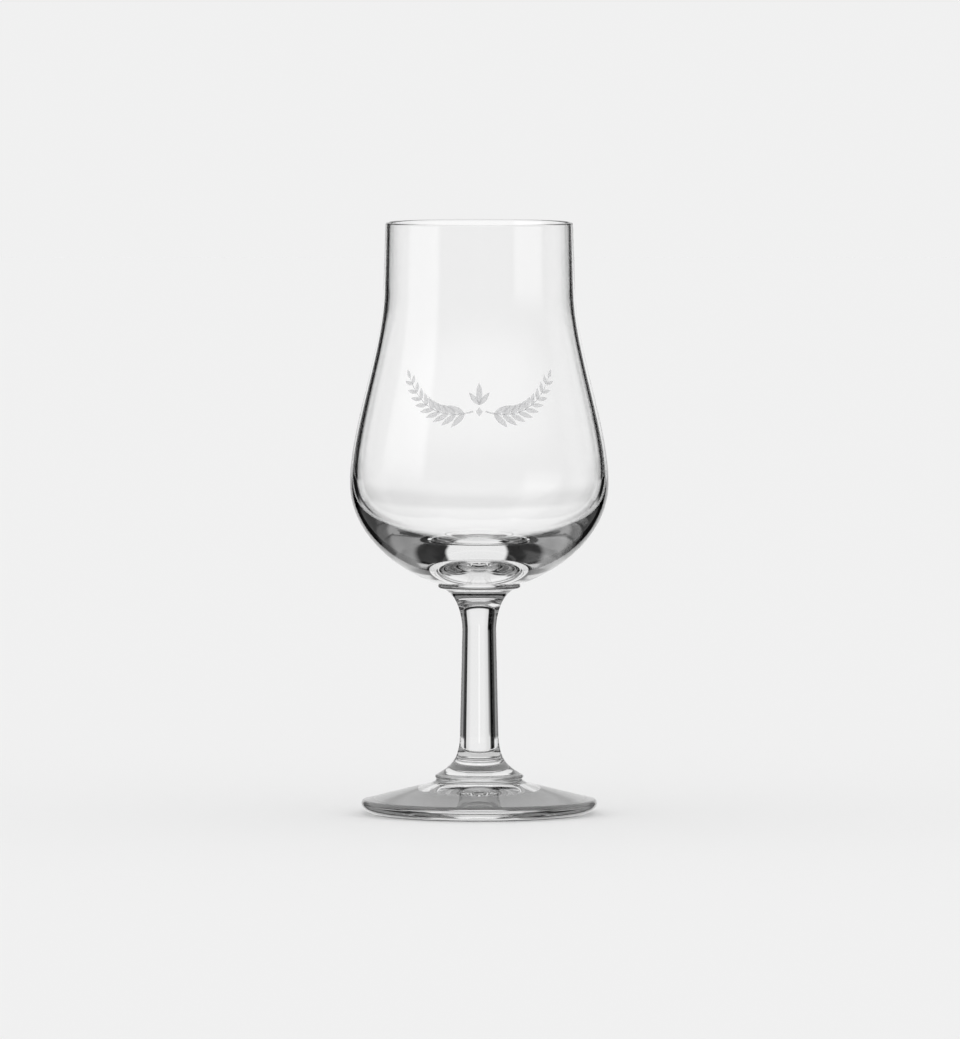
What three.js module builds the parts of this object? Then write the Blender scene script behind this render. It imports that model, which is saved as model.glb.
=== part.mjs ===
// A stemmed whisky glass of clear glass: a tulip bowl, a solid stem and a round foot.
// Millimetres, +Z up. The glass stands on z = 0 and its axis is the Z axis.

import * as THREE from 'three';

// Driving dimensions of the foot
const footDiameter = 61.8;
const footHeight = 9.2;
const footEdgeTop = 3.7;
const footWidestHeight = 2.7;
const footUpperRound = 0.7;
const footLowerRound = 3.9;
const restRingWidth = 8;
const undersideHollow = 2;
const footNeckDiameter = 22.6;
const footNeckFillet = 1.6;

// Driving dimensions of the stem
const stemLength = 51.2;
const shaftDiameterTop = 8.9;
const shaftDiameterBottom = 10.1;
const upperDiscDiameter = 21.6;
const upperDiscThickness = 1.3;
const upperFlareHeight = 11;
const upperFlareSlope = 6;
const lowerDiscDiameter = 23.2;
const lowerDiscThickness = 1.1;
const lowerFlareHeight = 11.2;
const lowerFlareSlope = 32;

// Driving dimensions of the bowl
const bowlHeight = 94.6;
const bowlBaseDiameter = 23;
const bowlBaseSlope = 20;
const bellyDiameter = 67.8;
const bellyHeight = 26.4;
const neckDiameter = 50.2;
const chimneyHeight = 17.1;
const rimDiameter = 49.1;
const rimWall = 1.05;
const neckWall = 1.35;
const bellyWall = 1.9;
const baseThickness = 6.8;
const insideBellyHeight = 28;

// Fullness of the curves: how far each handle reaches along its span
const baseFullness = 0.53;
const bellyFullnessBelow = 0.486;
const bellyFullnessAbove = 0.29;
const neckFullness = 0.304;
const insideFloorFullness = 0.4375;
const insideFullnessBelow = 0.755;
const flareFullness = 0.5;
const lowerFlareReach = 0.6;
const lowerFlareFullness = 0.7;
const coneFullness = 0.35;

// Facets: sides around the axis, and steps along each curved stretch of an outline
const roundSides = 48;
const stemSides = 36;
const bowlSteps = 11;
const stemSteps = 8;
const footSteps = 5;
const edgeSteps = 6;

// Points of an outline closer than this are one point
const samePoint = 1e-6;

// Heights of the two flat joints, where the pieces are melted together
const lowerJoint = footHeight;
const upperJoint = lowerJoint + stemLength;

// Points along an outline: only the ends of its straight stretches, and few on its small round edges
function outlinePoints(outline, steps) {
  const points = outline.curves.flatMap((curve) => {
    if (curve.isLineCurve) return curve.getPoints(1);
    return curve.getPoints(curve.isEllipseCurve ? edgeSteps : steps);
  });
  return points.filter((point, i) => i === 0 || point.distanceTo(points[i - 1]) > samePoint);
}

// A solid of revolution about Z, from an outline that runs from the axis back to the axis
function revolve(outline, steps, sides) {
  const geometry = new THREE.LatheGeometry(outlinePoints(outline, steps), sides);
  geometry.rotateX(Math.PI / 2);
  return geometry;
}

// A point on the straight line between two values
function between(from, to, share) {
  return from + (to - from) * share;
}

// The foot: a hollowed underside with a flat rest ring, a rounded edge and a low cone
function footOutline() {
  const edge = footDiameter / 2;
  const ringOuter = edge - footLowerRound;
  const ringInner = ringOuter - restRingWidth;
  const coneStart = edge - footUpperRound;
  const neck = footNeckDiameter / 2;
  const filletRadius = neck + footNeckFillet;
  const coneShare = (coneStart - filletRadius) / (coneStart - neck);
  const filletHeight = between(footEdgeTop, footHeight - footNeckFillet / 2, coneShare);
  const outline = new THREE.Path();
  outline.moveTo(0, undersideHollow);
  outline.bezierCurveTo(
    ringInner * coneFullness, undersideHollow,
    between(ringInner, 0, coneFullness), undersideHollow / 2,
    ringInner, 0,
  );
  outline.lineTo(ringOuter, 0);
  outline.bezierCurveTo(
    between(ringOuter, edge, flareFullness), 0,
    edge, between(footWidestHeight, 0, flareFullness),
    edge, footWidestHeight,
  );
  outline.bezierCurveTo(
    edge, between(footWidestHeight, footEdgeTop, flareFullness),
    between(coneStart, edge, flareFullness), footEdgeTop,
    coneStart, footEdgeTop,
  );
  outline.lineTo(filletRadius, filletHeight);
  outline.quadraticCurveTo(
    neck, footHeight - footNeckFillet / 2,
    neck, footHeight,
  );
  outline.lineTo(0, footHeight);
  return outline;
}

// The stem: a tapered shaft between two flares, each ending in a thin disc with a round edge
function stemOutline() {
  const lowerDisc = lowerDiscDiameter / 2;
  const upperDisc = upperDiscDiameter / 2;
  const lowerEdge = lowerDiscThickness / 2;
  const upperEdge = upperDiscThickness / 2;
  const lowerFlat = lowerDisc - lowerEdge;
  const upperFlat = upperDisc - upperEdge;
  const lowerDiscTop = lowerJoint + lowerDiscThickness;
  const upperDiscUnderside = upperJoint - upperDiscThickness;
  const shaftBottom = shaftDiameterBottom / 2;
  const shaftTop = shaftDiameterTop / 2;
  const shaftStart = lowerDiscTop + lowerFlareHeight;
  const shaftEnd = upperDiscUnderside - upperFlareHeight;
  const lowerSlope = THREE.MathUtils.degToRad(lowerFlareSlope);
  const upperSlope = THREE.MathUtils.degToRad(upperFlareSlope);
  const lowerReach = (lowerDisc - shaftBottom) * lowerFlareReach;
  const upperReach = (upperDisc - shaftTop) * flareFullness;
  const outline = new THREE.Path();
  outline.moveTo(0, lowerJoint);
  outline.lineTo(lowerFlat, lowerJoint);
  outline.absarc(lowerFlat, lowerJoint + lowerEdge, lowerEdge, -Math.PI / 2, Math.PI / 2);
  outline.bezierCurveTo(
    lowerFlat - lowerReach * Math.cos(lowerSlope), lowerDiscTop + lowerReach * Math.sin(lowerSlope),
    shaftBottom, between(shaftStart, lowerDiscTop, lowerFlareFullness),
    shaftBottom, shaftStart,
  );
  outline.lineTo(shaftTop, shaftEnd);
  outline.bezierCurveTo(
    shaftTop, between(shaftEnd, upperDiscUnderside, flareFullness),
    upperFlat - upperReach * Math.cos(upperSlope), upperDiscUnderside - upperReach * Math.sin(upperSlope),
    upperFlat, upperDiscUnderside,
  );
  outline.absarc(upperFlat, upperJoint - upperEdge, upperEdge, -Math.PI / 2, Math.PI / 2);
  outline.lineTo(0, upperJoint);
  return outline;
}

// The bowl: outside from the joint up over the belly to the rim, then down the inside to its floor
function bowlOutline() {
  const base = bowlBaseDiameter / 2;
  const belly = bellyDiameter / 2;
  const neck = neckDiameter / 2;
  const rim = rimDiameter / 2;
  const slope = THREE.MathUtils.degToRad(bowlBaseSlope);
  const baseReach = (belly - base) * baseFullness;
  const bellyLevel = upperJoint + bellyHeight;
  const rimLevel = upperJoint + bowlHeight;
  const neckLevel = rimLevel - chimneyHeight;
  const shoulderSpan = neckLevel - bellyLevel;
  const insideNeck = neck - neckWall;
  const insideBelly = belly - bellyWall;
  const insideLevel = upperJoint + insideBellyHeight;
  const insideSpan = neckLevel - insideLevel;
  const floorLevel = upperJoint + baseThickness;
  const outline = new THREE.Path();
  outline.moveTo(0, upperJoint);
  outline.lineTo(base, upperJoint);
  outline.bezierCurveTo(
    base + baseReach * Math.cos(slope), upperJoint + baseReach * Math.sin(slope),
    belly, bellyLevel - bellyHeight * bellyFullnessBelow,
    belly, bellyLevel,
  );
  outline.bezierCurveTo(
    belly, bellyLevel + shoulderSpan * bellyFullnessAbove,
    neck, neckLevel - shoulderSpan * neckFullness,
    neck, neckLevel,
  );
  outline.lineTo(rim, rimLevel - rimWall / 2);
  outline.absarc(rim - rimWall / 2, rimLevel - rimWall / 2, rimWall / 2, 0, Math.PI);
  outline.lineTo(insideNeck, neckLevel);
  outline.bezierCurveTo(
    insideNeck, neckLevel - insideSpan * neckFullness,
    insideBelly, insideLevel + insideSpan * bellyFullnessAbove,
    insideBelly, insideLevel,
  );
  outline.bezierCurveTo(
    insideBelly, between(insideLevel, floorLevel, insideFullnessBelow),
    insideBelly * insideFloorFullness, floorLevel,
    0, floorLevel,
  );
  return outline;
}

// Clear, colourless glass, polished by fire
function clearGlass() {
  return new THREE.MeshStandardMaterial({
    color: 0xeef1f2,
    roughness: 0.03,
    metalness: 0,
    transparent: true,
    opacity: 0.35,
  });
}

// A named piece of glass
function piece(name, geometry) {
  const mesh = new THREE.Mesh(geometry, clearGlass());
  mesh.name = name;
  return mesh;
}

const glass = new THREE.Group();
glass.add(piece('foot', revolve(footOutline(), footSteps, roundSides)));
glass.add(piece('stem', revolve(stemOutline(), stemSteps, stemSides)));
glass.add(piece('bowl', revolve(bowlOutline(), bowlSteps, roundSides)));

export default glass;
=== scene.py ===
# %% [markdown]
# # A stemmed whisky glass
# A clear tulip bowl is melted onto a solid stem, and the stem onto a round foot. Nothing on it moves.
# The lesson loads the measured solids first, because they say where every surface lies. Then it turns
# smooth pieces to stand for them, gives them glass, and builds the small studio that glass needs:
# clear glass has no colour of its own, so what it shows is what stands around it.

# %% Load the measured solids
import math

import bpy
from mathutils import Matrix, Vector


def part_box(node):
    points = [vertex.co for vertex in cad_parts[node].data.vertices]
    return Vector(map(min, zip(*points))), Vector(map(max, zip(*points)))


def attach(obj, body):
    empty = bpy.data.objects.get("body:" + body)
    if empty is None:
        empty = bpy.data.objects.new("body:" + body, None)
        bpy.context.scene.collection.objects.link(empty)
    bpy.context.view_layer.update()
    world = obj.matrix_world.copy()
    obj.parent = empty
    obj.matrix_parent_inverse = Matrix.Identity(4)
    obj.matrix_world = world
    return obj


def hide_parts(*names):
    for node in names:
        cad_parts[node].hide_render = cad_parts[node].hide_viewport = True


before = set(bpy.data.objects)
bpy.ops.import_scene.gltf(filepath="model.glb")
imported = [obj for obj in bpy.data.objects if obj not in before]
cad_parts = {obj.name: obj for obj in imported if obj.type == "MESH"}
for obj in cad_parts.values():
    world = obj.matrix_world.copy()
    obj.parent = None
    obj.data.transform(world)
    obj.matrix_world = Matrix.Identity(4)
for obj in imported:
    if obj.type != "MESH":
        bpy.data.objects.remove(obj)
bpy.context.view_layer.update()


# %% [markdown]
# ## Where the pieces meet
# The heights of the two melted joints and the largest radii are read from the solids, so the turned
# pieces can't drift away from them. All other sizes are in millimetres, as on a drawing.

# %% Read joints and radii
MM = 0.001
foot_low, foot_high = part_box("foot")
stem_low, stem_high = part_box("stem")
bowl_low, bowl_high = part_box("bowl")
FOOT_RADIUS = foot_high.x / MM
LOWER_JOINT = foot_high.z / MM
UPPER_JOINT = stem_high.z / MM
LOWER_DISC_RADIUS = stem_high.x / MM
BELLY_RADIUS = bowl_high.x / MM
RIM_HEIGHT = bowl_high.z / MM
print(f"foot from {foot_low.z / MM:.1f} mm to the lower joint at {LOWER_JOINT:.1f} mm")
print(f"stem from {stem_low.z / MM:.1f} mm to the upper joint at {UPPER_JOINT:.1f} mm")
print(f"bowl from {bowl_low.z / MM:.1f} mm to the rim at {RIM_HEIGHT:.1f} mm")

# %% [markdown]
# ## The camera
# The photograph was taken from far away with a long lens, looking down by about three degrees, so the
# rim shows as a thin ellipse. One of its pixels covers 0.262 mm at the glass, and that sets the lens.
# The Standard view transform shows every grey just as it is set, which makes tones easy to compare.

# %% Place the camera
PHOTO_WIDTH = 960
MM_PER_PIXEL = 0.262
CAMERA_DISTANCE = 3.9
CAMERA_ELEVATION = math.radians(3.1)
AIM_HEIGHT = 77.1 * MM
AIM_ASIDE = 0.2 * MM
SENSOR_WIDTH = 36.0

camera_data = bpy.data.cameras.new("camera")
camera_data.sensor_fit = "HORIZONTAL"
camera_data.sensor_width = SENSOR_WIDTH
camera_data.lens = SENSOR_WIDTH * CAMERA_DISTANCE / (PHOTO_WIDTH * MM_PER_PIXEL * MM)
camera = bpy.data.objects.new("camera", camera_data)
bpy.context.scene.collection.objects.link(camera)
camera.location = (
    AIM_ASIDE,
    -CAMERA_DISTANCE * math.cos(CAMERA_ELEVATION),
    AIM_HEIGHT + CAMERA_DISTANCE * math.sin(CAMERA_ELEVATION),
)
camera.rotation_euler = (math.pi / 2 - CAMERA_ELEVATION, 0, 0)
bpy.context.scene.camera = camera
bpy.context.scene.view_settings.view_transform = "Standard"
print(f"lens {camera_data.lens:.0f} mm at {CAMERA_DISTANCE} m")

# %% [markdown]
# ## Light that crosses many surfaces
# A look through the base of the bowl crosses the glass many times, and part of it is mirrored inside.
# If the path is cut short, those places turn black, so the paths may be longer than usual.

# %% Let light cross the glass often
paths = bpy.context.scene.cycles
paths.max_bounces = 32
paths.transmission_bounces = 24
paths.glossy_bounces = 16
paths.transparent_max_bounces = 32
print("longest light path:", paths.max_bounces, "bounces")

# %% [markdown]
# ## Small node helpers
# The finishes and the studio are node trees, and a few helpers keep them readable. One adds a node with
# its settings and links, one does arithmetic, one fades from 0 to 1 between two values, and one picks
# between two values.


# %% Node helpers
def add_node(tree, kind, links=(), **settings):
    """Adds a node, sets its properties, and links or sets its inputs."""
    made = tree.nodes.new(kind)
    for name, value in settings.items():
        setattr(made, name, value)
    for socket, value in dict(links).items():
        if isinstance(value, bpy.types.NodeSocket):
            tree.links.new(value, made.inputs[socket])
        else:
            made.inputs[socket].default_value = value
    return made


def arithmetic(tree, operation, first, second=0.0):
    """One Math node."""
    return add_node(tree, "ShaderNodeMath", {0: first, 1: second}, operation=operation).outputs[0]


def fade(tree, value, start, end):
    """0 before start, 1 after end, and smooth between them; start may be the larger."""
    made = add_node(
        tree,
        "ShaderNodeMapRange",
        {"Value": value, "From Min": start, "From Max": end},
        interpolation_type="SMOOTHSTEP",
    )
    return made.outputs[0]


def either(tree, share, first, second):
    """The first value where share is 0, the second where it is 1."""
    made = add_node(tree, "ShaderNodeMix", {0: share, 2: first, 3: second}, data_type="FLOAT")
    return made.outputs[0]


print("node helpers ready")

# %% [markdown]
# ## Starting a finish
# Every finish begins as a new material with one all-round shader. Three more helpers serve them all: one
# starts a finish, one lets another shader take the place of the first, and one makes a fine grain in
# the piece's own coordinates, so that the grain stays on the glass wherever the glass goes.


# %% Finish helpers
def new_finish(name):
    """A new material, with its node tree and its all-round shader."""
    material = bpy.data.materials.new(name)
    material.use_nodes = True
    tree = material.node_tree
    return material, tree, tree.nodes["Principled BSDF"]


def show_instead(tree, first_shader, other_shader):
    """Lets another shader be all that the surface shows."""
    tree.nodes.remove(first_shader)
    tree.links.new(other_shader.outputs[0], tree.nodes["Material Output"].inputs["Surface"])


def fine_grain(tree, scale, low, high):
    """A noise in the piece's own coordinates that runs between two values."""
    place = add_node(tree, "ShaderNodeTexCoord").outputs["Object"]
    noise = add_node(tree, "ShaderNodeTexNoise", {"Vector": place, "Scale": scale}).outputs[0]
    span = add_node(tree, "ShaderNodeMapRange", {"Value": noise, "To Min": low, "To Max": high})
    return span.outputs[0]


print("finish helpers ready")

# %% [markdown]
# ## Drawing an outline
# Every piece of this glass is round, so each one is half an outline, spun about the axis. The outline
# could be a list of many points, but a glassmaker draws it with a few true curves. So a Bezier curve is
# drawn with one knot at each change of form. A knot gives the radius and height, and where its two
# handles pull; a missing handle means a straight line on that side.

# %% Outline helpers
CURVE_STEPS = 28


def knot(radius, height, before=None, after=None):
    """A point of an outline in millimetres, with the points that its two handles reach."""
    return {"at": (radius, height), "before": before, "after": after}


def in_outline_plane(spot):
    """A radius and height in millimetres as a place in the plane y = 0."""
    radius, height = spot
    return (radius * MM, 0, height * MM)


def draw_outline(name, knots):
    """Draws the outline as one Bezier curve in the plane y = 0."""
    bpy.ops.object.select_all(action="DESELECT")
    bpy.ops.curve.primitive_bezier_curve_add()
    outline = bpy.context.object
    outline.name = name
    outline.data.resolution_u = CURVE_STEPS
    spline = outline.data.splines[0]
    spline.bezier_points.add(len(knots) - len(spline.bezier_points))
    for point, drawn in zip(spline.bezier_points, knots):
        point.co = in_outline_plane(drawn["at"])
        point.handle_left_type = "FREE" if drawn["before"] else "VECTOR"
        point.handle_right_type = "FREE" if drawn["after"] else "VECTOR"
    for point, drawn in zip(spline.bezier_points, knots):
        if drawn["before"]:
            point.handle_left = in_outline_plane(drawn["before"])
        if drawn["after"]:
            point.handle_right = in_outline_plane(drawn["after"])
    return outline


print(f"outlines ready, {CURVE_STEPS} steps a curve")

# %% [markdown]
# ## Turning a piece on the lathe
# The outline becomes a chain of edges, and the Spin tool turns it about the axis, as a lathe would. Spin
# leaves a seam and loose points on the axis, so doubles are merged. Then the faces are made to point
# outwards, and all edges but the sharp ones are shaded smooth.

# %% Lathe helper
TURN_STEPS = 256
SAME_POINT = 1e-3 * MM
SHARP_EDGE = math.radians(35)


def turn(name, knots):
    """Spins an outline about the axis into a closed piece with its faces outwards."""
    piece = draw_outline(name, knots)
    bpy.ops.object.convert(target="MESH")
    bpy.ops.object.mode_set(mode="EDIT")
    bpy.ops.mesh.select_all(action="SELECT")
    bpy.ops.mesh.spin(steps=TURN_STEPS, angle=2 * math.pi, center=(0, 0, 0), axis=(0, 0, 1))
    bpy.ops.mesh.select_all(action="SELECT")
    bpy.ops.mesh.remove_doubles(threshold=SAME_POINT)
    bpy.ops.mesh.normals_make_consistent(inside=False)
    bpy.ops.object.mode_set(mode="OBJECT")
    bpy.ops.object.shade_smooth_by_angle(angle=SHARP_EDGE)
    piece.data.name = name
    return piece


print(f"lathe ready, {TURN_STEPS} steps a turn")

# %% [markdown]
# ## The foot
# The foot is pressed in a mould: a low cone on top, an edge that is tucked in underneath, and a hollow
# below, so that it stands on a ring and doesn't rock. A cylinder with bevels could come close, but the
# tucked edge is one long curve. So the knots follow the outline from the middle of the hollow, over the
# ring and the edge, and then up the cone to the joint.

# %% Draw the underside and the edge of the foot
FOOT_WIDEST_HEIGHT = 2.7
FOOT_EDGE_TOP = 3.7
FOOT_UPPER_ROUND = 0.7
FOOT_LOWER_ROUND = 3.9
REST_RING_WIDTH = 8.0
UNDERSIDE_HOLLOW = 2.0
HOLLOW_FULLNESS = 0.35

ring_outer = FOOT_RADIUS - FOOT_LOWER_ROUND
ring_inner = ring_outer - REST_RING_WIDTH
cone_start = FOOT_RADIUS - FOOT_UPPER_ROUND
foot_under_knots = [
    knot(0, UNDERSIDE_HOLLOW, after=(ring_inner * HOLLOW_FULLNESS, UNDERSIDE_HOLLOW)),
    knot(ring_inner, 0, before=(ring_inner * (1 - HOLLOW_FULLNESS), UNDERSIDE_HOLLOW / 2)),
    knot(ring_outer, 0, after=(ring_outer + FOOT_LOWER_ROUND / 2, 0)),
    knot(
        FOOT_RADIUS,
        FOOT_WIDEST_HEIGHT,
        before=(FOOT_RADIUS, FOOT_WIDEST_HEIGHT / 2),
        after=(FOOT_RADIUS, (FOOT_WIDEST_HEIGHT + FOOT_EDGE_TOP) / 2),
    ),
    knot(cone_start, FOOT_EDGE_TOP, before=(cone_start + FOOT_UPPER_ROUND / 2, FOOT_EDGE_TOP)),
]
print(f"the foot stands on a ring of radius {ring_inner:.1f} to {ring_outer:.1f} mm")

# %% [markdown]
# The cone ends in a small fillet below the joint. On the drawing that fillet has a single pull point, and
# two handles that reach two thirds of the way to it make the same curve.

# %% Draw the cone and turn the foot
FOOT_NECK_RADIUS = 11.3
FOOT_NECK_FILLET = 1.6
FILLET_REACH = 2 / 3
LOWER_DISC_THICKNESS = 1.1
LOWER_MELT_RADIUS = LOWER_DISC_RADIUS - LOWER_DISC_THICKNESS / 2

fillet_radius = FOOT_NECK_RADIUS + FOOT_NECK_FILLET
fillet_corner = LOWER_JOINT - FOOT_NECK_FILLET / 2
cone_share = (cone_start - fillet_radius) / (cone_start - FOOT_NECK_RADIUS)
fillet_height = FOOT_EDGE_TOP + (fillet_corner - FOOT_EDGE_TOP) * cone_share
foot_top_knots = [
    knot(
        fillet_radius,
        fillet_height,
        after=(
            fillet_radius - FOOT_NECK_FILLET * FILLET_REACH,
            fillet_height + (fillet_corner - fillet_height) * FILLET_REACH,
        ),
    ),
    knot(
        FOOT_NECK_RADIUS,
        LOWER_JOINT,
        before=(FOOT_NECK_RADIUS, LOWER_JOINT + (fillet_corner - LOWER_JOINT) * FILLET_REACH),
    ),
    knot(LOWER_MELT_RADIUS, LOWER_JOINT),
    knot(0, LOWER_JOINT),
]
foot = turn("turned_foot", foot_under_knots + foot_top_knots)
print("foot:", len(foot.data.polygons), "faces")

# %% [markdown]
# ## The stem
# The stem is drawn and pressed from a hot gather: a slim shaft, slightly thicker at its foot, that flares
# into a thin disc at each end. The discs are where it was melted to its neighbours, and their round
# edges stand a little proud, which catches the light. The discs come first, because both have the same
# half-round edge: a helper draws it as three knots.

# %% Draw the two discs
ROUND_HANDLE = 0.5523
UPPER_DISC_RADIUS = 10.8
UPPER_DISC_THICKNESS = 1.3
UPPER_MELT_RADIUS = UPPER_DISC_RADIUS - UPPER_DISC_THICKNESS / 2


def round_edge(outer, low, high):
    """Three knots of a half-round edge between two heights, bulging to the outer radius."""
    half = (high - low) / 2
    pull = half * ROUND_HANDLE
    flat = outer - half
    middle = (low + high) / 2
    return [
        knot(flat, low, after=(flat + pull, low)),
        knot(outer, middle, before=(outer, middle - pull), after=(outer, middle + pull)),
        knot(flat, high, before=(flat + pull, high)),
    ]


lower_disc_top = LOWER_JOINT + LOWER_DISC_THICKNESS
upper_disc_under = UPPER_JOINT - UPPER_DISC_THICKNESS
lower_edge = round_edge(LOWER_DISC_RADIUS, LOWER_JOINT, lower_disc_top)
upper_edge = round_edge(UPPER_DISC_RADIUS, upper_disc_under, UPPER_JOINT)
print(f"discs {LOWER_DISC_THICKNESS} and {UPPER_DISC_THICKNESS} mm thick")

# %% [markdown]
# Each flare leaves its disc at a slope and swings into the straight shaft. The last knot of the lower disc
# and the first of the upper one get the handle that points along that slope.

# %% Draw the flares and turn the stem
SHAFT_RADIUS_TOP = 4.45
SHAFT_RADIUS_BOTTOM = 5.05
UPPER_FLARE_HEIGHT = 11.0
UPPER_FLARE_SLOPE = math.radians(6)
UPPER_FLARE_FULLNESS = 0.5
LOWER_FLARE_HEIGHT = 11.2
LOWER_FLARE_SLOPE = math.radians(32)
LOWER_FLARE_REACH = 0.6
LOWER_FLARE_FULLNESS = 0.7

shaft_start = lower_disc_top + LOWER_FLARE_HEIGHT
shaft_end = upper_disc_under - UPPER_FLARE_HEIGHT
lower_reach = (LOWER_DISC_RADIUS - SHAFT_RADIUS_BOTTOM) * LOWER_FLARE_REACH
upper_reach = (UPPER_DISC_RADIUS - SHAFT_RADIUS_TOP) * UPPER_FLARE_FULLNESS
lower_edge[-1]["after"] = (
    LOWER_MELT_RADIUS - lower_reach * math.cos(LOWER_FLARE_SLOPE),
    lower_disc_top + lower_reach * math.sin(LOWER_FLARE_SLOPE),
)
upper_edge[0]["before"] = (
    UPPER_MELT_RADIUS - upper_reach * math.cos(UPPER_FLARE_SLOPE),
    upper_disc_under - upper_reach * math.sin(UPPER_FLARE_SLOPE),
)
stem_knots = [
    knot(0, LOWER_JOINT),
    *lower_edge,
    knot(
        SHAFT_RADIUS_BOTTOM,
        shaft_start,
        before=(SHAFT_RADIUS_BOTTOM, shaft_start - LOWER_FLARE_HEIGHT * LOWER_FLARE_FULLNESS),
    ),
    knot(
        SHAFT_RADIUS_TOP,
        shaft_end,
        after=(SHAFT_RADIUS_TOP, shaft_end + UPPER_FLARE_HEIGHT * UPPER_FLARE_FULLNESS),
    ),
    *upper_edge,
    knot(0, UPPER_JOINT),
]
stem = turn("turned_stem", stem_knots)
print("stem:", len(stem.data.polygons), "faces")

# %% [markdown]
# ## The bowl
# The bowl is blown: the wall is thin at the rim and gathers into a thick bottom. It could be a single
# surface with a Solidify modifier, but that gives an even wall, and this one is uneven. So the outline
# goes all the way round. It climbs the outside first, from the joint over the belly to the neck.

# %% Draw the outside of the bowl
BOWL_BASE_RADIUS = 11.5
BOWL_BASE_SLOPE = math.radians(20)
BELLY_ABOVE_JOINT = 26.4
CHIMNEY_LENGTH = 17.1
NECK_RADIUS = 25.1
BASE_FULLNESS = 0.53
BELLY_FULLNESS_BELOW = 0.486
BELLY_FULLNESS_ABOVE = 0.29
NECK_FULLNESS = 0.304

belly_height = UPPER_JOINT + BELLY_ABOVE_JOINT
neck_height = RIM_HEIGHT - CHIMNEY_LENGTH
shoulder = neck_height - belly_height
base_reach = (BELLY_RADIUS - BOWL_BASE_RADIUS) * BASE_FULLNESS
outside_knots = [
    knot(0, UPPER_JOINT),
    knot(UPPER_MELT_RADIUS, UPPER_JOINT),
    knot(
        BOWL_BASE_RADIUS,
        UPPER_JOINT,
        after=(
            BOWL_BASE_RADIUS + base_reach * math.cos(BOWL_BASE_SLOPE),
            UPPER_JOINT + base_reach * math.sin(BOWL_BASE_SLOPE),
        ),
    ),
    knot(
        BELLY_RADIUS,
        belly_height,
        before=(BELLY_RADIUS, belly_height - BELLY_ABOVE_JOINT * BELLY_FULLNESS_BELOW),
        after=(BELLY_RADIUS, belly_height + shoulder * BELLY_FULLNESS_ABOVE),
    ),
    knot(NECK_RADIUS, neck_height, before=(NECK_RADIUS, neck_height - shoulder * NECK_FULLNESS)),
]
print(f"belly at {belly_height:.1f} mm, neck at {neck_height:.1f} mm")

# %% [markdown]
# A flame rounds the cut rim of a real bowl into a full half circle. The lip is drawn as two quarter
# circles, with the same handles as on the edges of the discs.

# %% Round the lip
RIM_RADIUS = 24.55
RIM_WALL = 1.05

lip_radius = RIM_WALL / 2
lip_height = RIM_HEIGHT - lip_radius
lip_middle = RIM_RADIUS - lip_radius
lip_pull = lip_radius * ROUND_HANDLE
inside_rim = RIM_RADIUS - RIM_WALL
lip_knots = [
    knot(RIM_RADIUS, lip_height, after=(RIM_RADIUS, lip_height + lip_pull)),
    knot(
        lip_middle,
        RIM_HEIGHT,
        before=(lip_middle + lip_pull, RIM_HEIGHT),
        after=(lip_middle - lip_pull, RIM_HEIGHT),
    ),
    knot(inside_rim, lip_height, before=(inside_rim, lip_height + lip_pull)),
]
print(f"lip {RIM_WALL} mm thick")

# %% [markdown]
# The inside is the hardest shape of the whole glass, because it decides what the thick bottom shows. It
# has its own belly, a little higher than the one outside, and a round floor well above the joint.

# %% Draw the inside and turn the bowl
NECK_WALL = 1.35
BELLY_WALL = 1.9
INSIDE_BELLY_ABOVE_JOINT = 28.0
BASE_THICKNESS = 6.8
INSIDE_FULLNESS_BELOW = 0.755
INSIDE_FLOOR_FULLNESS = 0.4375

inside_neck = NECK_RADIUS - NECK_WALL
inside_belly = BELLY_RADIUS - BELLY_WALL
inside_height = UPPER_JOINT + INSIDE_BELLY_ABOVE_JOINT
inside_shoulder = neck_height - inside_height
floor_height = UPPER_JOINT + BASE_THICKNESS
inside_depth = inside_height - floor_height
inside_knots = [
    knot(inside_neck, neck_height, after=(inside_neck, neck_height - inside_shoulder * NECK_FULLNESS)),
    knot(
        inside_belly,
        inside_height,
        before=(inside_belly, inside_height + inside_shoulder * BELLY_FULLNESS_ABOVE),
        after=(inside_belly, inside_height - inside_depth * INSIDE_FULLNESS_BELOW),
    ),
    knot(0, floor_height, before=(inside_belly * INSIDE_FLOOR_FULLNESS, floor_height)),
]
bowl = turn("turned_bowl", outside_knots + lip_knots + inside_knots)
print("bowl:", len(bowl.data.polygons), "faces")

# %% [markdown]
# ## Clear glass
# Fire-polished glass is smooth enough to mirror the studio, but it is never perfect: the bottom of the
# bowl was pressed onto the stem while soft, and has gentle waves that break up the dark shapes in it.
# The waves could be modelled, but they are only hundredths of a millimetre deep. So a slow noise drives
# a bump. It begins at the upper joint and has faded out before the belly; all else stays smooth.

# %% Make the clear glass
GLASS_INDEX = 1.52
WAVE_SCALE = 110.0
WAVE_STRETCH = (0.7, 0.7, 2.0)
WAVE_DETAIL = 1.0
WAVE_DEPTH = 0.03 * MM
WAVES_LOW = UPPER_JOINT * MM
WAVES_FULL = (UPPER_JOINT + 3) * MM
WAVES_FADE = (UPPER_JOINT + 8) * MM
WAVES_GONE = (UPPER_JOINT + 20) * MM


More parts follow.
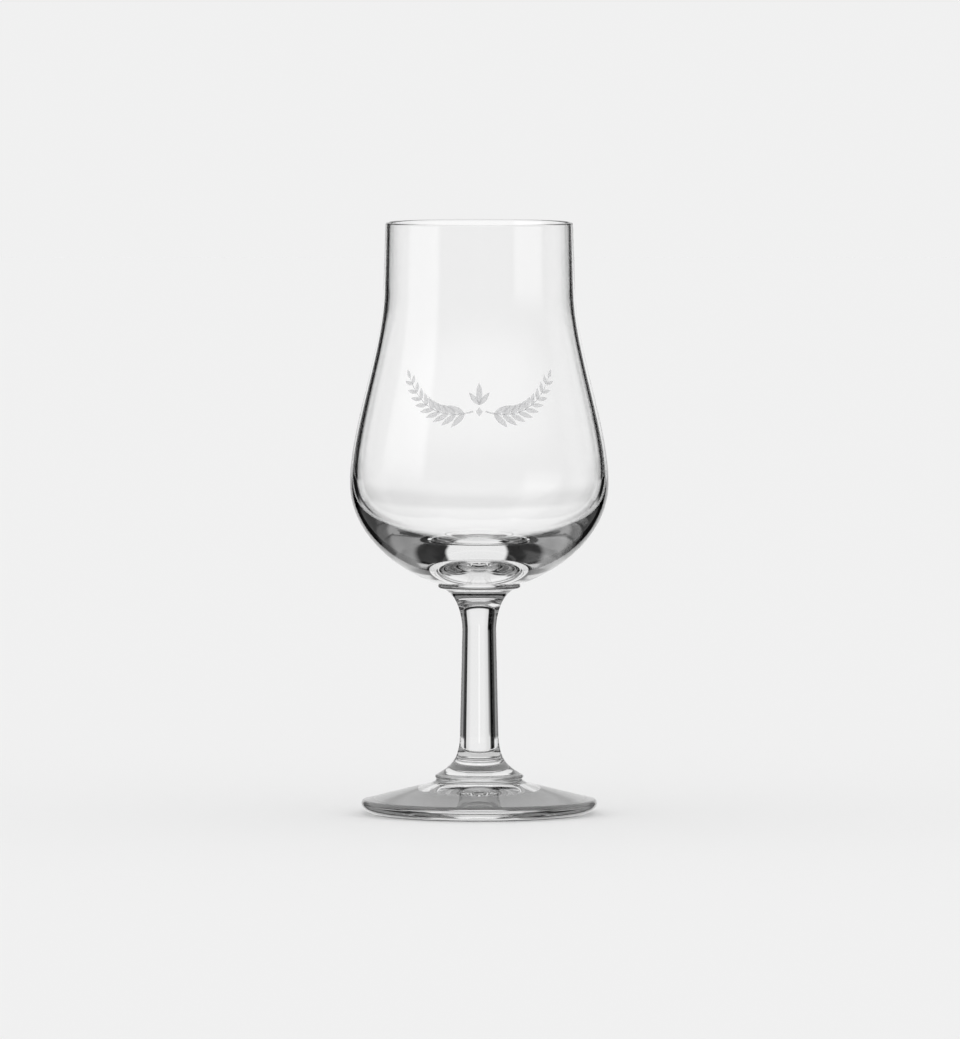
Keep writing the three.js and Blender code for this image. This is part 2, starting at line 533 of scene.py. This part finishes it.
def clear_glass(name):
    """Clear, smooth glass with slow waves in the bottom of the bowl."""
    material, tree, shader = new_finish(name)
    shader.inputs["Base Color"].default_value = (1, 1, 1, 1)
    shader.inputs["Roughness"].default_value = 0.0
    shader.inputs["IOR"].default_value = GLASS_INDEX
    shader.inputs["Transmission Weight"].default_value = 1.0
    place = add_node(tree, "ShaderNodeTexCoord").outputs["Object"]
    height = add_node(tree, "ShaderNodeSeparateXYZ", {0: place}).outputs["Z"]
    stretched = add_node(
        tree, "ShaderNodeVectorMath", {0: place, 1: WAVE_STRETCH}, operation="MULTIPLY"
    ).outputs[0]
    waves = add_node(
        tree, "ShaderNodeTexNoise", {"Vector": stretched, "Scale": WAVE_SCALE, "Detail": WAVE_DETAIL}
    ).outputs[0]
    rise = fade(tree, height, WAVES_LOW, WAVES_FULL)
    fall = fade(tree, height, WAVES_GONE, WAVES_FADE)
    share = arithmetic(tree, "MULTIPLY", rise, fall)
    bump = add_node(
        tree, "ShaderNodeBump", {"Height": waves, "Strength": share, "Distance": WAVE_DEPTH}
    )
    tree.links.new(bump.outputs[0], shader.inputs["Normal"])
    return material


glass = clear_glass("clear_glass")
turned_pieces = (foot, stem, bowl)
for piece in turned_pieces:
    piece.data.materials.clear()
    piece.data.materials.append(glass)
print("clear glass bends light by an index of", GLASS_INDEX)

# %% [markdown]
# ## The melted joints
# Where two pieces of hot glass are melted together, no surface is left between them. The turned pieces
# still touch with two flat faces, and these would mirror light that real glass lets pass. The pieces
# could be made one, but they stay apart as they were made. So the touching faces get a slot of their
# own, with a finish that can't be seen at all.

# %% Melt the joints
JOINT_SLOT = 1
FLAT_NORMAL = 0.99


def melted_joint(name):
    """A finish with nothing to see."""
    material, tree, shader = new_finish(name)
    show_instead(tree, shader, add_node(tree, "ShaderNodeBsdfTransparent"))
    return material


def melt(piece, height, radius):
    """Gives the flat faces at a joint the slot of the melted place, and counts them."""
    melted = 0
    for face in piece.data.polygons:
        level = abs(face.center.z - height * MM) < SAME_POINT
        within = math.hypot(face.center.x, face.center.y) < radius * MM
        if level and within and abs(face.normal.z) > FLAT_NORMAL:
            face.material_index = JOINT_SLOT
            melted += 1
    return melted


joint = melted_joint("melted_joint")
for piece in turned_pieces:
    piece.data.materials.append(joint)
melted_faces = [melt(piece, LOWER_JOINT, LOWER_MELT_RADIUS) for piece in (foot, stem)]
melted_faces += [melt(piece, UPPER_JOINT, UPPER_MELT_RADIUS) for piece in (stem, bowl)]
print("melted faces on foot, stem, stem, bowl:", melted_faces)

# %% [markdown]
# ## The ground ring and its painted shade
# A pressed foot is ground flat underneath, so that it stands firm, and grinding leaves a matt ring. Its dark
# grey is painted shade: it stands for the table in the foot's shadow, as seen through the glass.
# Seen from the side, the clear edge of the foot bends the look down onto that ring, which gives the edge
# its dark patches. A rough glass would need many samples to come out clean, so the ring is a matt
# surface with a fine grain, on the faces that look down between two radii. Nobody sees it directly in
# the photograph, so those radii were chosen by how the edge of the foot then looks.

# %% Grind the ring
GROUND_SLOT = 2
GROUND_FROM = 14.5
GROUND_TO = 24.0
GROUND_ROUGHNESS = 0.8
GRAIN_SCALE = 900.0
# The grey range of the ring is painted shade of the table under the foot, with a fine grain in it.
RING_SHADE_DARK = 0.25
RING_SHADE_PALE = 0.38
LOOKS_DOWN = -0.7


def ground_ring_painted_shade(name):
    """Glass ground matt where it stands on the table, its dark grey painted shade."""
    material, tree, shader = new_finish(name)
    shader.inputs["Roughness"].default_value = GROUND_ROUGHNESS
    tone = fine_grain(tree, GRAIN_SCALE, RING_SHADE_DARK, RING_SHADE_PALE)
    tree.links.new(tone, shader.inputs["Base Color"])
    return material


foot.data.materials.append(ground_ring_painted_shade("ground_ring_painted_shade"))
ground_faces = 0
for face in foot.data.polygons:
    below = face.center.z < UNDERSIDE_HOLLOW * MM and face.normal.z < LOOKS_DOWN
    radius = math.hypot(face.center.x, face.center.y) / MM
    if below and GROUND_FROM < radius < GROUND_TO:
        face.material_index = GROUND_SLOT
        ground_faces += 1
print("ground faces below the foot:", ground_faces)

# %% [markdown]
# ## The frosted ornament
# The front of the bowl carries a pale frosted decoration, a little over half as wide as the bowl. On a
# real glass it would be blown with fine sand through a stencil. Here it is a plain pair of laurel sprigs
# with a bud between them. It could be a painted picture, but then the meshes would lack it, so it is
# drawn flat, in millimetres, from strips that are cut from a grid. A rule gives a strip its width.

# %% Strip helpers
STRIP_ROWS = 4
STRIP_LENGTH = 1.0
LEAF_LEAN = 0.85
LEAF_ROUNDNESS = 0.9


def leaf_width(along):
    """A leaf is pointed at both ends, and fullest a little before its middle."""
    return math.sin(math.pi * along ** LEAF_LEAN) ** LEAF_ROUNDNESS


def flat_strip(name, steps, width_at):
    """A flat strip of length 1 along X whose width follows a rule."""
    bpy.ops.object.select_all(action="DESELECT")
    bpy.ops.mesh.primitive_grid_add(x_subdivisions=steps, y_subdivisions=STRIP_ROWS, size=STRIP_LENGTH)
    strip = bpy.context.object
    strip.name = name
    for vertex in strip.data.vertices:
        along = vertex.co.x + STRIP_LENGTH / 2
        vertex.co = (along, vertex.co.y * width_at(along), 0)
    return strip


def place_copy(master, spot, angle, length, width):
    """A copy of a flat piece with a mesh of its own, turned and scaled in the drawing."""
    copy = master.copy()
    copy.data = master.data.copy()
    bpy.context.scene.collection.objects.link(copy)
    copy.location = (spot[0], spot[1], 0)
    copy.rotation_euler = (0, 0, angle)
    copy.scale = (length, width, 1)
    return copy


def join_flat(pieces):
    """Fixes the places of flat pieces and makes them one."""
    bpy.ops.object.select_all(action="DESELECT")
    for piece in pieces:
        piece.select_set(True)
    bpy.context.view_layer.objects.active = pieces[0]
    bpy.ops.object.transform_apply(location=True, rotation=True, scale=True)
    bpy.ops.object.join()
    return bpy.context.object


print(f"strips ready, {STRIP_ROWS} rows each")

# %% [markdown]
# A sprig grows along a rib, a curve that hangs down and swings up at its end, like half a wreath. The rib
# is a strip that is bent along that curve, and it gets thinner towards its tip.

# %% Draw the rib
RIB_STEPS = 48
RIB_WIDTH = 0.45
RIB_TAPER = 0.6
RIB_KNOTS = ((1.6, -4.4), (12.5, -8.2), (20.2, 4.4))


def rib_at(along):
    """Point and direction of the rib, a curve with one control point."""
    first, pull, last = RIB_KNOTS
    back = 1 - along
    spot = [back * back * a + 2 * back * along * b + along * along * c for a, b, c in zip(first, pull, last)]
    run = [2 * back * (b - a) + 2 * along * (c - b) for a, b, c in zip(first, pull, last)]
    return spot, math.atan2(run[1], run[0])


rib = flat_strip("rib", RIB_STEPS, lambda along: RIB_WIDTH * (1 - RIB_TAPER * along))
for vertex in rib.data.vertices:
    spot, angle = rib_at(vertex.co.x)
    aside = vertex.co.y
    vertex.co = (spot[0] - aside * math.sin(angle), spot[1] + aside * math.cos(angle), 0)
print("rib:", len(rib.data.polygons), "faces")

# %% [markdown]
# One leaf is modelled once and copied in pairs along the rib, smaller towards the tip, and one more leaf
# ends it. A Mirror modifier makes the other sprig.

# %% Grow the sprigs
LEAF_STEPS = 10
LEAF_PAIRS = 9
LEAF_FIRST = 0.1
LEAF_LAST = 0.93
LEAF_LENGTH = (5.0, 2.7)
LEAF_WIDTH = (1.6, 1.0)
LEAF_SPREAD = math.radians(38)


def between(span, share):
    """A value on the way from the first of two to the second."""
    start, end = span
    return start + (end - start) * share


leaf = flat_strip("leaf", LEAF_STEPS, leaf_width)
right_half = [rib]
for pair in range(LEAF_PAIRS):
    share = pair / (LEAF_PAIRS - 1)
    spot, angle = rib_at(between((LEAF_FIRST, LEAF_LAST), share))
    length = between(LEAF_LENGTH, share)
    width = between(LEAF_WIDTH, share)
    for side in (1, -1):
        right_half.append(place_copy(leaf, spot, angle + side * LEAF_SPREAD, length, width))
tip, angle = rib_at(1.0)
right_half.append(place_copy(leaf, tip, angle, LEAF_LENGTH[1], LEAF_WIDTH[1]))
sprigs = join_flat(right_half)
sprigs.modifiers.new("other_side", "MIRROR")
bpy.ops.object.modifier_apply(modifier="other_side")
print("sprigs:", len(sprigs.data.polygons), "faces")

# %% [markdown]
# The bud between the sprigs is three copies of the same leaf, fanned out over a small lozenge. Then the
# flat drawing is complete, and all of it becomes one piece.

# %% Add the bud
BUD_LEAVES = ((90, 6.2, 1.7), (52, 4.4, 1.4), (128, 4.4, 1.4))
BUD_ROOT = (0, -2.6)
LOZENGE_LENGTH = 2.6
LOZENGE_WIDTH = 1.7
LOZENGE_GAP = 0.6

bud = [
    place_copy(leaf, BUD_ROOT, math.radians(angle), length, width) for angle, length, width in BUD_LEAVES
]
lozenge = flat_strip("lozenge", LEAF_STEPS, lambda along: 1 - abs(2 * along - 1))
lozenge.location = (BUD_ROOT[0], BUD_ROOT[1] - LOZENGE_LENGTH - LOZENGE_GAP, 0)
lozenge.rotation_euler = (0, 0, math.pi / 2)
lozenge.scale = (LOZENGE_LENGTH, LOZENGE_WIDTH, 1)
bpy.data.objects.remove(leaf)
ornament = join_flat([sprigs, lozenge, *bud])
ornament.name = "frosted_ornament"
print("flat ornament:", len(ornament.data.polygons), "faces")

# %% [markdown]
# The drawing is laid around the bowl like paper, and a Shrinkwrap modifier pulls it onto the glass. Sand
# takes a little glass away, but cutting the ornament into the wall would need a far finer bowl, so it
# lies on the wall as a film thinner than a hair, which a Solidify modifier gives its thickness.

# %% Wrap the ornament around the bowl
ORNAMENT_HEIGHT = 112.5
WRAP_RADIUS = 36.0
ROLL_RADIUS = 30.0
FILM_LIFT = 0.03 * MM
FILM_THICKNESS = 0.05 * MM

for vertex in ornament.data.vertices:
    angle = vertex.co.x / ROLL_RADIUS
    height = ORNAMENT_HEIGHT + vertex.co.y
    vertex.co = (
        WRAP_RADIUS * math.sin(angle) * MM,
        -WRAP_RADIUS * math.cos(angle) * MM,
        height * MM,
    )
bpy.ops.object.mode_set(mode="EDIT")
bpy.ops.mesh.select_all(action="SELECT")
bpy.ops.mesh.remove_doubles(threshold=SAME_POINT)
bpy.ops.mesh.dissolve_degenerate(threshold=SAME_POINT)
bpy.ops.object.mode_set(mode="OBJECT")
pull = ornament.modifiers.new("onto_glass", "SHRINKWRAP")
pull.target = bowl
pull.wrap_method = "NEAREST_SURFACEPOINT"
pull.wrap_mode = "OUTSIDE_SURFACE"
pull.offset = FILM_LIFT
bpy.ops.object.modifier_apply(modifier="onto_glass")
film = ornament.modifiers.new("film", "SOLIDIFY")
film.thickness = FILM_THICKNESS
film.offset = 1.0
bpy.ops.object.modifier_apply(modifier="film")
print("ornament:", len(ornament.data.polygons), "faces")

# %% [markdown]
# ## Frosting
# Sand leaves countless tiny pits that scatter light in all directions, and some light still passes. So
# the frosting is part pale grey scatter and part clear, and a fine grain makes it thinner in places.

# %% Make the frosting
FROST_SCALE = 1400.0
FROST_THIN = 0.3
FROST_THICK = 0.5
FROST_COLOUR = (0.62, 0.62, 0.63, 1)
FROST_ROUGHNESS = 0.7


def frosting(name):
    """Pale grey scatter mixed with clear by a fine grain."""
    material, tree, shader = new_finish(name)
    shader.inputs["Base Color"].default_value = FROST_COLOUR
    shader.inputs["Roughness"].default_value = FROST_ROUGHNESS
    cover = fine_grain(tree, FROST_SCALE, FROST_THIN, FROST_THICK)
    tree.links.new(cover, shader.inputs["Alpha"])
    return material


ornament.data.materials.clear()
ornament.data.materials.append(frosting("frosting"))
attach(ornament, "root")
print("frosting covers", FROST_THIN, "to", FROST_THICK)

# %% [markdown]
# ## Put the pieces on the frame
# Each turned piece stands for the solid of the same shape and rides on the glass's one body.

# %% Ride on the body
for piece, node in ((foot, "foot"), (stem, "stem"), (bowl, "bowl")):
    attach(piece, "root")
    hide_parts(node)
print("pieces ride on root:", [piece.name for piece in turned_pieces])

# %% [markdown]
# ## The studio
# Glass is drawn by its surroundings. A white sweep behind it makes it bright, black flags at both sides of
# the sweep draw its dark edges, grey walls further round fill the thick bottom, and the pale table lies
# below. They could be real boards around the glass, but those would show in the picture and light the
# floor. So the world holds them, as soft-edged cards given by their directions in degrees: across is
# the angle from straight behind the glass, positive to the right, and up is the angle above the table.
# Each card also says how soft its edges are and how bright it is, and later cards lie on earlier ones.


# %% Card helpers
def card(left, right, low, high, soft_across, soft_up, level):
    """A soft-edged rectangle of the studio, in degrees, and how bright it is."""
    return (left, right, low, high, soft_across, soft_up, level)


def both_sides(near, far, low, high, soft_across, soft_up, level):
    """The same card at the left and at the right."""
    return [
        card(-far, -near, low, high, soft_across, soft_up, level),
        card(near, far, low, high, soft_across, soft_up, level),
    ]


def paint_cards(tree, across, up, dark, cards):
    """Lays soft-edged cards over a dark room, the later ones on top."""
    level = dark
    for left, right, low, high, soft_across, soft_up, bright in cards:
        sides = arithmetic(
            tree,
            "MULTIPLY",
            fade(tree, across, left - soft_across / 2, left + soft_across / 2),
            fade(tree, across, right + soft_across / 2, right - soft_across / 2),
        )
        ends = arithmetic(
            tree,
            "MULTIPLY",
            fade(tree, up, low - soft_up / 2, low + soft_up / 2),
            fade(tree, up, high + soft_up / 2, high - soft_up / 2),
        )
        level = either(tree, arithmetic(tree, "MULTIPLY", sides, ends), level, bright)
    return level


print("card helpers ready")

# %% [markdown]
# A photographer moves the boards until each part of the glass looks right. Thick glass makes that hard: a
# small change of its shape sends the look far aside. So there are four arrangements of cards, tuned
# against the photograph, one for each way in which a look can meet the glass. The first is for
# looks that cross a single piece: the stem, the foot, and the edges of the bowl.

# %% Cards behind a single piece
STRAIGHT_DARK = 0.02
STRAIGHT = [
    *both_sides(47, 98, -90, 60, 6, 20, 0.26),  # grey walls
    *both_sides(62, 125, -6, 0, 8, 3, 0.4),  # pale strip at the level of the table
    card(-190, 190, 46, 95, 10, 10, 0.3),  # ceiling
    card(-190, 190, -95, -10, 10, 4, 0.8),  # table
    card(-41, 41, -48, 40, 4, 8, 0.0),  # black flags, beside the sweep
    card(-26, 30, -60, -5, 6, 6, 0.8),  # table before the sweep
    card(-21.5, 32, -30, 24, 3, 4, 0.76),  # sweep
    card(-15, 23, -30, 24, 12, 4, 0.9),  # brighter middle of the sweep
    card(-1.5, 1.5, -12, 2, 1, 2, 1.03),  # lamp behind the sweep
]
print("cards behind a single piece:", len(STRAIGHT))

# %% [markdown]
# The second arrangement is for looks that thick glass mirrors inside before it lets them out, as in the
# bottom of the bowl. Its grey walls have very soft edges: hard ones make patterns like fish scales.

# %% Cards behind thick glass
THROUGH_SOLID_DARK = 0.008
THROUGH_SOLID = [
    *both_sides(125, 190, 20, 95, 10, 6, 0.3),  # walls in front
    card(-190, 190, 55, 95, 10, 10, 0.3),  # ceiling
    *both_sides(70, 94, -90, 16, 10, 10, 0.1),  # dark walls at the sides
    *both_sides(44, 74, -90, 30, 8, 24, 0.3),  # grey walls
    *both_sides(53, 62, -90, 26, 8, 10, 0.26),  # darker stripe on the grey walls
    card(-190, 190, -95, -24, 10, 12, 0.6),  # table
    card(-41, 41, -48, 40, 4, 8, 0.005),  # black flags, beside the sweep
    *both_sides(31, 47, -22, -9, 4, 3, 0.6),  # table below the flags
    card(-26, 30, -60, -20, 6, 6, 0.8),  # table before the sweep
    card(-17, 20, -30, 50, 3, 8, 0.88),  # sweep
]
print("cards behind thick glass:", len(THROUGH_SOLID))

# %% [markdown]
# The third is for looks straight through both walls of the bowl. These see the white sweep nearly as it
# is, with a soft grey band low down and a thin dark line at each side.

# %% Cards behind the bowl
THROUGH_BOWL_BRIGHT = 1.0
THROUGH_BOWL = [
    card(-190, 190, -17, -11, 10, 4, 0.86),  # grey band
    card(-60, -17, -2.6, 0.6, 3, 1, 0.03),  # dark line, left
    card(20, 60, -2.6, 0.6, 3, 1, 0.03),  # dark line, right
]
print("cards behind the bowl:", len(THROUGH_BOWL))

# %% [markdown]
# The last is for looks that the glass mirrors. Head on it mirrors the dark room in front, but a low edge
# also mirrors the sweep and the flags behind it: they draw the black line along the lower edge of the
# bowl's bottom, and the white that fades out beside it.

# %% Cards that the glass mirrors
MIRRORED_DARK = 0.05
MIRRORED = [
    card(-190, 190, 30, 95, 10, 30, 0.3),  # ceiling
    *both_sides(50, 90, -60, 90, 10, 20, 0.6),  # pale walls
    card(-90, -32, -60, -8, 2, 4, 0.28),  # grey floor, left
    card(33, 90, -60, -8, 2, 4, 0.28),  # grey floor, right
    card(-70, 70, 3, 70, 14, 2, 0.85),  # bright wall behind
    card(-38, 40, -14, 14, 3, 6, 0.02),  # black flags, beside the sweep
    card(-32, 33, -60, -8, 2, 4, 0.0),  # black flags, lower part
    card(-21, 23, -14, 14, 3, 6, 0.85),  # sweep
    card(-19.5, 20.5, -60, -8, 2, 4, 0.95),  # sweep, lower part
]
print("cards that the glass mirrors:", len(MIRRORED))

# %% [markdown]
# ## Choosing by the path of the light
# The Light Path node counts the surfaces that a look has met so far, and those that it has passed
# through. The counts are whole numbers, so each limit lies halfway between two of them. The camera sees
# the plain background, and matt surfaces get plain light from all sides.

# %% Build the studio
BACKGROUND = 0.875
PLAIN_LIGHT = 1.0
DEGREES = 180 / math.pi
ONE_PIECE = 3.5
BOTH_WALLS = 3.5
BOTH_WALLS_ONLY = 5.5
SCATTERED_ONCE = 0.5


def build_studio():
    """The world: plain for the camera and matt surfaces, cards for glass."""
    world = bpy.data.worlds.new("studio")
    world.use_nodes = True
    tree = world.node_tree
    tree.nodes.clear()
    direction = add_node(tree, "ShaderNodeTexCoord").outputs["Generated"]
    parts = add_node(tree, "ShaderNodeSeparateXYZ", {0: direction}).outputs
    across = arithmetic(tree, "MULTIPLY", arithmetic(tree, "ARCTAN2", parts["X"], parts["Y"]), DEGREES)
    up = arithmetic(tree, "MULTIPLY", arithmetic(tree, "ARCSINE", parts["Z"]), DEGREES)
    behind_piece = paint_cards(tree, across, up, STRAIGHT_DARK, STRAIGHT)
    behind_solid = paint_cards(tree, across, up, THROUGH_SOLID_DARK, THROUGH_SOLID)
    behind_bowl = paint_cards(tree, across, up, THROUGH_BOWL_BRIGHT, THROUGH_BOWL)
    in_mirror = paint_cards(tree, across, up, MIRRORED_DARK, MIRRORED)

    ray = add_node(tree, "ShaderNodeLightPath").outputs
    straight = arithmetic(tree, "LESS_THAN", ray["Ray Depth"], ONE_PIECE)
    passed_walls = arithmetic(tree, "GREATER_THAN", ray["Transmission Depth"], BOTH_WALLS)
    little_else = arithmetic(tree, "LESS_THAN", ray["Ray Depth"], BOTH_WALLS_ONLY)
    crossed = arithmetic(tree, "MULTIPLY", passed_walls, little_else)
    mirrored = arithmetic(tree, "MULTIPLY", ray["Is Reflection Ray"], ray["Is Glossy Ray"])
    scattered = arithmetic(tree, "GREATER_THAN", ray["Diffuse Depth"], SCATTERED_ONCE)

    through = either(tree, crossed, either(tree, straight, behind_solid, behind_piece), behind_bowl)
    level = either(tree, mirrored, PLAIN_LIGHT, in_mirror)
    level = either(tree, ray["Is Transmission Ray"], level, through)
    level = either(tree, scattered, level, PLAIN_LIGHT)
    level = either(tree, ray["Is Camera Ray"], level, BACKGROUND)
    light = add_node(tree, "ShaderNodeBackground", {"Color": level})
    add_node(tree, "ShaderNodeOutputWorld", {"Surface": light.outputs[0]})
    return world


bpy.context.scene.world = build_studio()
print("studio nodes:", len(bpy.context.scene.world.node_tree.nodes))

# %% [markdown]
# ## The floor
# The floor is pale and matt, as bright as the background, so the two meet without a line, and it keeps
# the soft shadow of the glass. It lies a hair below the foot, because two faces at the same height
# would flicker. The glass itself looks at the cards and not at the floor.

# %% Lay the floor
FLOOR_SIZE = 8.0
FLOOR_DROP = 0.2 * MM

bpy.ops.object.select_all(action="DESELECT")
bpy.ops.mesh.primitive_plane_add(size=FLOOR_SIZE, location=(0, 0, -FLOOR_DROP))
floor = bpy.context.object
floor.name = "floor"
paper, _, paper_shader = new_finish("pale_paper")
paper_shader.inputs["Base Color"].default_value = (BACKGROUND, BACKGROUND, BACKGROUND, 1)
paper_shader.inputs["Roughness"].default_value = 1.0
paper_shader.inputs["Specular IOR Level"].default_value = 0.0
floor.data.materials.append(paper)
floor.visible_transmission = False
floor.visible_glossy = False
print("floor:", FLOOR_SIZE, "m square")

# %% [markdown]
# ## The soft box
# One soft box stands close to the glass, on the left and a little in front. It is near, so the bowl
# mirrors it and the low stem doesn't: that is why it is a real board and not a card of the far studio.
# The wall of the bowl shows it twice, on the near side at the left and on the far side at the right.

# %% Set up the soft box
BOX_DIRECTION = math.radians(-109)
BOX_DISTANCE = 215 * MM
BOX_WIDTH = 212 * MM
BOX_BOTTOM = 58 * MM
BOX_HEIGHT = 450 * MM

bpy.ops.object.select_all(action="DESELECT")
bpy.ops.mesh.primitive_plane_add(size=1)
box = bpy.context.object
box.name = "soft_box"
box.scale = (BOX_WIDTH, BOX_HEIGHT, 1)
box.rotation_euler = (math.pi / 2, 0, -BOX_DIRECTION)
box.location = (
    BOX_DISTANCE * math.sin(BOX_DIRECTION),
    BOX_DISTANCE * math.cos(BOX_DIRECTION),
    BOX_BOTTOM + BOX_HEIGHT / 2,
)
box.visible_camera = False
box.visible_diffuse = False
box.visible_shadow = False
print(f"soft box {BOX_WIDTH:.2f} by {BOX_HEIGHT:.2f} m, {BOX_DISTANCE:.2f} m away")

# %% [markdown]
# The cloth of a soft box is brightest in the middle and fades towards its frame, so its glow is faded
# along all four edges. The thick bottom of the real bowl doesn't show the box, so it is seen only by
# looks that cross a single piece or both walls of the bowl.

# %% Light the soft box
BOX_LEVEL = 1.0
BOX_SOFT = 0.16

diffuser, box_tree, plain_shader = new_finish("diffuser")
ray = add_node(box_tree, "ShaderNodeLightPath").outputs
seen = arithmetic(
    box_tree,
    "MAXIMUM",
    arithmetic(box_tree, "LESS_THAN", ray["Ray Depth"], ONE_PIECE),
    arithmetic(box_tree, "GREATER_THAN", ray["Transmission Depth"], BOTH_WALLS),
)
cloth = add_node(box_tree, "ShaderNodeTexCoord").outputs["Generated"]
cloth = add_node(box_tree, "ShaderNodeSeparateXYZ", {0: cloth}).outputs
for along in (cloth["X"], cloth["Y"]):
    seen = arithmetic(box_tree, "MULTIPLY", seen, fade(box_tree, along, 0, BOX_SOFT))
    seen = arithmetic(box_tree, "MULTIPLY", seen, fade(box_tree, along, 1, 1 - BOX_SOFT))
glow = add_node(box_tree, "ShaderNodeEmission", {"Strength": BOX_LEVEL})
clear = add_node(box_tree, "ShaderNodeBsdfTransparent")
shown = add_node(box_tree, "ShaderNodeMixShader", {0: seen, 1: clear.outputs[0], 2: glow.outputs[0]})
show_instead(box_tree, plain_shader, shown)
box.data.materials.append(diffuser)
print("soft box glows at", BOX_LEVEL)
